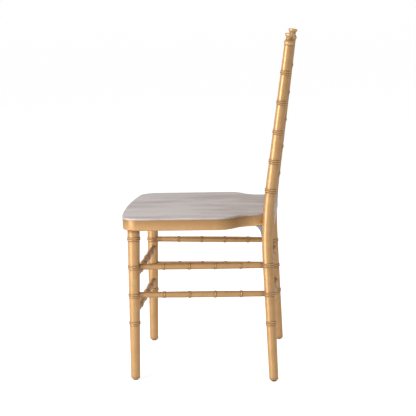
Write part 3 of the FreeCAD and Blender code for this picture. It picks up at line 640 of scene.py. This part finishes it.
def eased_piece(node, material, radius, crisp, grain, segments=3, rounded_above=ROUNDED_ABOVE):
    """A copy of a CAD node with its edges rounded, in the place of that node.

    crisp says which edges are left as they are; grain is the direction of the fibre.
    """
    mesh = bpy.data.meshes.new(node + "_eased")
    work = bmesh.new()
    work.from_mesh(nodes[node].data)
    bmesh.ops.remove_doubles(work, verts=work.verts, dist=WELD_DISTANCE)
    bmesh.ops.dissolve_limit(work, angle_limit=ONE_PLANE, verts=work.verts, edges=work.edges)
    edges = [edge for edge in work.edges
             if len(edge.link_faces) == 2
             and edge.calc_face_angle(0) > rounded_above and not crisp(edge)]
    bmesh.ops.bevel(work, geom=edges, offset=radius, offset_type="OFFSET", segments=segments,
                    profile=0.5, affect="EDGES", clamp_overlap=True)
    bmesh.ops.triangulate(work, faces=[face for face in work.faces if len(face.verts) > 4])
    work.to_mesh(mesh)
    work.free()
    low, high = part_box(node)
    turn = grain.rotation_difference(Vector((0, 0, 1)))
    own = [turn @ vertex.co for vertex in mesh.vertices]
    edge_reach = radius * 1.2
    # For the rails, the lower edges carry a painted highlight through the crest mask, and the tops under
    # the board a painted shade through the hollow mask.
    crests = [EASED_CREST if vertex.co.z < low.z + edge_reach else 0.0 for vertex in mesh.vertices]
    hollows = [EASED_HOLLOW if vertex.co.z > high.z - edge_reach else 0.0 for vertex in mesh.vertices]
    store_surface(mesh, own, crests, hollows)
    fit_piece(node + "_eased", mesh, EASED_SHARP, material, node)


def touches_joint(edge):
    """Edges that stand upright, where two rails meet, stay crisp."""
    return abs(edge.verts[0].co.z - edge.verts[1].co.z) > UPRIGHT_RISE


for node, grain in (("seat_rail_front", Vector((1, 0, 0))), ("seat_rail_rear", Vector((1, 0, 0))),
                    ("seat_rail_left", Vector((0, 1, 0))), ("seat_rail_right", Vector((0, 1, 0)))):
    eased_piece(node, GOLD, RAIL_EASING, touches_joint, grain)

# The seat: one thin hardwood board laid flat over the frame, sanded and limed to a pale grey, its
# grain running front to back and its upper edge rounded over.
BOARD_ROUNDING = 0.0016
UPPER_EDGE_DEPTH = 0.0005


def stretch_range(tree, value, low, high):
    """A value between low and high, drawn out to run from 0 to 1."""
    drawn = add_node(tree, "ShaderNodeMapRange", From_Min=low, From_Max=high)
    tree.links.new(value, drawn.inputs["Value"])
    return drawn.outputs["Result"]


def limed_board():
    """Bare limed hardwood: pale grey with a violet cast, streaked by its grain."""
    pale = (0.60, 0.552, 0.532)
    plain = (0.43, 0.370, 0.345)
    dark = (0.30, 0.240, 0.220)
    material, tree, shader = new_material("limed_board", Specular_IOR_Level=0.35)
    place = own_place(tree)
    grain = add_grain(tree, place)
    wide = stretched_noise(tree, place, 26, 5.0, detail=4.0, roughness=0.6)
    colour = link_mix(tree, stretch_range(tree, wide, 0.36, 0.56), plain, pale)
    bands = stretch_range(tree, grain.outputs["Bands"], 0.35, 0.70)
    colour = link_mix(tree, link_math(tree, "MULTIPLY", bands, 0.35), colour, pale)
    streaks = stretch_range(tree, grain.outputs["Streaks"], 0.48, 0.72)
    colour = link_mix(tree, link_math(tree, "MULTIPLY", streaks, 0.45), colour, dark)
    colour = link_mix(tree, link_math(tree, "MULTIPLY", grain.outputs["Pores"], 0.5), colour, dark)
    tree.links.new(colour, shader.inputs["Base Color"])
    rough = link_math(tree, "MULTIPLY_ADD", grain.outputs["Streaks"], 0.2, 0.52)
    tree.links.new(rough, shader.inputs["Roughness"])
    height = link_math(tree, "ADD", link_math(tree, "MULTIPLY", grain.outputs["Pores"], -1.0),
                       link_math(tree, "MULTIPLY", grain.outputs["Streaks"], 0.7))
    link_bump(tree, shader, height, 0.35, 0.0003)
    return material


board_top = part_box("seat_board")[1].z


def not_upper_edge(edge):
    """Every edge that isn't on the board's upper face stays crisp."""
    return min(edge.verts[0].co.z, edge.verts[1].co.z) < board_top - UPPER_EDGE_DEPTH


eased_piece("seat_board", limed_board(), BOARD_ROUNDING, not_upper_edge,
            Vector((0, 1, 0)), segments=4)

# The corner brackets: pressed zinc-plated steel angles with a curved web. Each is held by two
# cross-recessed pan-head screws, one up into the side rail and one back into the post.
BRACKET_EASING = 0.0003
BRACKET_PLATE = 0.002
BRACKET_ROUNDED_ABOVE = math.radians(60)
SHORT_FACET = 0.002
SCREW_STEPS = 32
SCREW_RADIUS = 0.0014
SCREW_LENGTH = 0.014
SCREW_POINT = 0.0022
HEAD_RADIUS = 0.0024
HEAD_HEIGHT = 0.0016
HEAD_RIM = 0.0002
HEAD_STEPS = 6
RECESS_REACH = 0.62
RECESS_SLOPE = 0.14
RECESS_DEPTH = 0.0009
RECESS_ARM_HALF = 0.00042
SCREW_OFF_CENTRE = 0.29
UP_SCREW_PLACE = 0.62
BACK_SCREW_PLACE = 0.7


def zinc_plate(name, tint, roughness):
    """Zinc plating: a bluish grey metal with a fine cloudy crystal pattern and dull edges."""
    material, tree, shader = new_material(name, Metallic=0.9)
    place = add_node(tree, "ShaderNodeTexCoord").outputs["Object"]
    cloud = add_node(tree, "ShaderNodeTexNoise", Scale=160.0, Detail=5.0)
    tree.links.new(place, cloud.inputs["Vector"])
    spangle = add_node(tree, "ShaderNodeTexVoronoi", Scale=420.0)
    tree.links.new(place, spangle.inputs["Vector"])
    dull = tuple(value * 0.62 for value in tint)
    colour = link_mix(tree, cloud.outputs["Fac"], dull, tint)
    colour = link_mix(tree, link_math(tree, "MULTIPLY", spangle.outputs["Distance"], 0.3), colour, dull)
    tree.links.new(colour, shader.inputs["Base Color"])
    rough = link_math(tree, "MULTIPLY_ADD", cloud.outputs["Fac"], 0.25, roughness)
    tree.links.new(rough, shader.inputs["Roughness"])
    link_bump(tree, shader, cloud.outputs["Fac"], 0.15, 0.0002)
    return material


def short_facet(edge):
    """The short facets round the web's hollow and the rounded corners stay crisp."""
    return edge.calc_length() < SHORT_FACET


BRACKET_ZINC = zinc_plate("bracket_zinc", (0.27, 0.31, 0.36), 0.38)
for side in ("left", "right"):
    eased_piece(f"corner_bracket_{side}", BRACKET_ZINC, BRACKET_EASING,
                short_facet, Vector((0, 0, 1)), segments=2, rounded_above=BRACKET_ROUNDED_ABOVE)
SCREW_ZINC = zinc_plate("screw_zinc", (0.45, 0.47, 0.50), 0.28)


def screw_rings():
    """Rings of (radius, height over the seat of the head, depth of the cross recess there)."""
    rings = [(SCREW_RADIUS * 0.2, -SCREW_LENGTH, 0), (SCREW_RADIUS, -SCREW_LENGTH + SCREW_POINT, 0),
             (SCREW_RADIUS, 0, 0), (HEAD_RADIUS * 0.98, 0, 0), (HEAD_RADIUS, HEAD_RIM, 0)]
    for step in range(1, HEAD_STEPS):
        angle = math.pi / 2 * step / HEAD_STEPS
        rings.append((HEAD_RADIUS * (1 - (1 - RECESS_REACH) * (1 - math.cos(angle))),
                      HEAD_RIM + (HEAD_HEIGHT - HEAD_RIM) * math.sin(angle), 0))
    for share in (RECESS_REACH, 0.56, 0.48, 0.38, 0.28, 0.18, 0.08):
        recess = RECESS_DEPTH * min(1, (RECESS_REACH - share) / RECESS_SLOPE)
        rings.append((HEAD_RADIUS * share, HEAD_HEIGHT, recess))
    return rings


def bracket_screw(work, seat, inward):
    """One screw added to a mesh: its head bears on the bracket and its shank points inward."""
    turn = lean(-inward)
    rings = []
    for radius, height, recess in screw_rings():
        ring = []
        for step in range(SCREW_STEPS):
            angle = 2 * math.pi * step / SCREW_STEPS
            off_arm = radius * min(abs(math.sin(angle)), abs(math.cos(angle)))
            sunk = recess if off_arm < RECESS_ARM_HALF else 0
            place = Vector((radius * math.cos(angle), radius * math.sin(angle), height - sunk))
            ring.append(work.verts.new(seat + turn @ place))
        rings.append(ring)
    for low, high in zip(rings, rings[1:]):
        for step in range(SCREW_STEPS):
            following = (step + 1) % SCREW_STEPS
            work.faces.new((low[step], low[following], high[following], high[step]))
    work.faces.new(tuple(reversed(rings[0])))
    work.faces.new(rings[-1])


screw_work = bmesh.new()
for side, mirror in (("left", 1), ("right", -1)):
    low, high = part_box(f"corner_bracket_{side}")
    off_centre = SCREW_OFF_CENTRE * (high.x - low.x) * mirror
    centre = (low.x + high.x) / 2
    up_seat = Vector((centre - off_centre, high.y - UP_SCREW_PLACE * (high.y - low.y),
                      high.z - BRACKET_PLATE))
    back_seat = Vector((centre + off_centre, high.y - BRACKET_PLATE,
                        high.z - BACK_SCREW_PLACE * (high.z - low.z)))
    bracket_screw(screw_work, up_seat, Vector((0, 0, 1)))
    bracket_screw(screw_work, back_seat, Vector((0, 1, 0)))
screw_mesh = bpy.data.meshes.new("bracket_screws_pan_head")
screw_work.to_mesh(screw_mesh)
screw_work.free()
fit_piece("bracket_screws_pan_head", screw_mesh, EASED_SHARP, SCREW_ZINC,
          "bracket_screws")

# The floor glides: small round buttons of dark moulded nylon, one nailed under each foot, with
# their lower edges rounded over and scuffed by the floor.
GLIDE_SHARE = 0.99


def dark_nylon():
    """Moulded nylon, scuffed grey where it rubs on the floor."""
    fresh = (0.035, 0.032, 0.030)
    scuffed = (0.16, 0.15, 0.14)
    material, tree, shader = new_material("dark_nylon")
    wear_and_light = add_wear_and_painted_light(tree, own_place(tree), 300.0)
    tree.links.new(link_mix(tree, wear_and_light.outputs["Rubbed and highlight"], fresh, scuffed), shader.inputs["Base Color"])
    rough = link_math(tree, "MULTIPLY_ADD", wear_and_light.outputs["Mottle"], 0.3, 0.35)
    tree.links.new(rough, shader.inputs["Roughness"])
    return material


NYLON = dark_nylon()
for place in ("front", "rear"):
    for side in ("left", "right"):
        node = f"glide_{place}_{side}"
        low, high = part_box(node)
        middle = (low + high) / 2
        radius = (high.y - low.y) / 2 * GLIDE_SHARE
        height = high.z - low.z
        rows = [(0, radius * 0.86, 0.6, 0), (0.0002, radius * 0.90, 1, 0), (0.0006, radius * 0.97, 1, 0),
                (0.0012, radius, 0.3, 0), (height * 0.8, radius, 0, 0), (height, radius * 0.985, 0, 0.5)]
        bottom = Vector((middle.x, middle.y, low.z))
        turned_piece(node + "_button", rows, straight_from(bottom, bottom + Vector((0, 0, 1))), NYLON,
                     node)

# The studio: a white floor that keeps the chair's soft shadow, a white room round it, a large
# window-like lamp ahead of the chair and smaller ones above and behind.
FLOOR_SIZE = 120.0
FLOOR_LIFT = 0.66
ROOM_LIGHT = 0.36
CHAIR_MIDDLE = Vector((0, 0.02, 0.5))


def seen_white(tree):
    """1 for what the lens sees itself, in a reflection or through something clear, else 0."""
    path = tree.nodes.new("ShaderNodeLightPath")
    seen = link_math(tree, "MAXIMUM", path.outputs["Is Camera Ray"], path.outputs["Is Glossy Ray"])
    return link_math(tree, "MAXIMUM", seen, path.outputs["Is Transmission Ray"])


floor_mesh = bpy.data.meshes.new("studio_floor")
half = FLOOR_SIZE / 2
floor_mesh.from_pydata([(-half, -half, 0), (half, -half, 0), (half, half, 0), (-half, half, 0)], [],
                       [(0, 1, 2, 3)])
floor = bpy.data.objects.new("studio_floor", floor_mesh)
bpy.context.scene.collection.objects.link(floor)
floor_material = bpy.data.materials.new("floor_white")
floor_material.use_nodes = True
tree = floor_material.node_tree
paint = tree.nodes["Principled BSDF"]
paint.inputs["Base Color"].default_value = (0.87, 0.87, 0.87, 1)
paint.inputs["Roughness"].default_value = 0.9
paint.inputs["Specular IOR Level"].default_value = 0.1
lift = tree.nodes.new("ShaderNodeEmission")
lift.inputs["Color"].default_value = (1, 1, 1, 1)
tree.links.new(link_math(tree, "MULTIPLY", seen_white(tree), FLOOR_LIFT), lift.inputs["Strength"])
both = tree.nodes.new("ShaderNodeAddShader")
tree.links.new(paint.outputs[0], both.inputs[0])
tree.links.new(lift.outputs[0], both.inputs[1])
tree.links.new(both.outputs[0], tree.nodes["Material Output"].inputs["Surface"])
floor_mesh.materials.append(floor_material)

world = bpy.data.worlds.new("studio_room")
bpy.context.scene.world = world
world.use_nodes = True
tree = world.node_tree
background = tree.nodes["Background"]
background.inputs["Color"].default_value = (0.98, 0.98, 1.0, 1)
background.inputs["Strength"].default_value = ROOM_LIGHT
room = tree.nodes.new("ShaderNodeBackground")
room.inputs["Color"].default_value = (1, 1, 1, 1)
choose = tree.nodes.new("ShaderNodeMixShader")
tree.links.new(seen_white(tree), choose.inputs["Fac"])
tree.links.new(background.outputs[0], choose.inputs[1])
tree.links.new(room.outputs[0], choose.inputs[2])
tree.links.new(choose.outputs[0], tree.nodes["World Output"].inputs["Surface"])

for name, place, width, height, watts in (
        ("window_lamp", Vector((2.0, -2.2, 1.15)), 1.3, 2.2, 96),
        ("top_lamp", Vector((-0.4, 0.2, 2.8)), 1.8, 1.8, 14),
        ("back_lamp", Vector((0.6, 2.6, 1.4)), 1.2, 1.2, 2)):
    lamp_data = bpy.data.lights.new(name, "AREA")
    lamp_data.shape = "RECTANGLE"
    lamp_data.size = width
    lamp_data.size_y = height
    lamp_data.energy = watts
    lamp = bpy.data.objects.new(name, lamp_data)
    lamp.location = place
    lamp.rotation_euler = (CHAIR_MIDDLE - place).to_track_quat("-Z", "Y").to_euler()
    bpy.context.scene.collection.objects.link(lamp)
bpy.context.scene.view_settings.view_transform = "Standard"
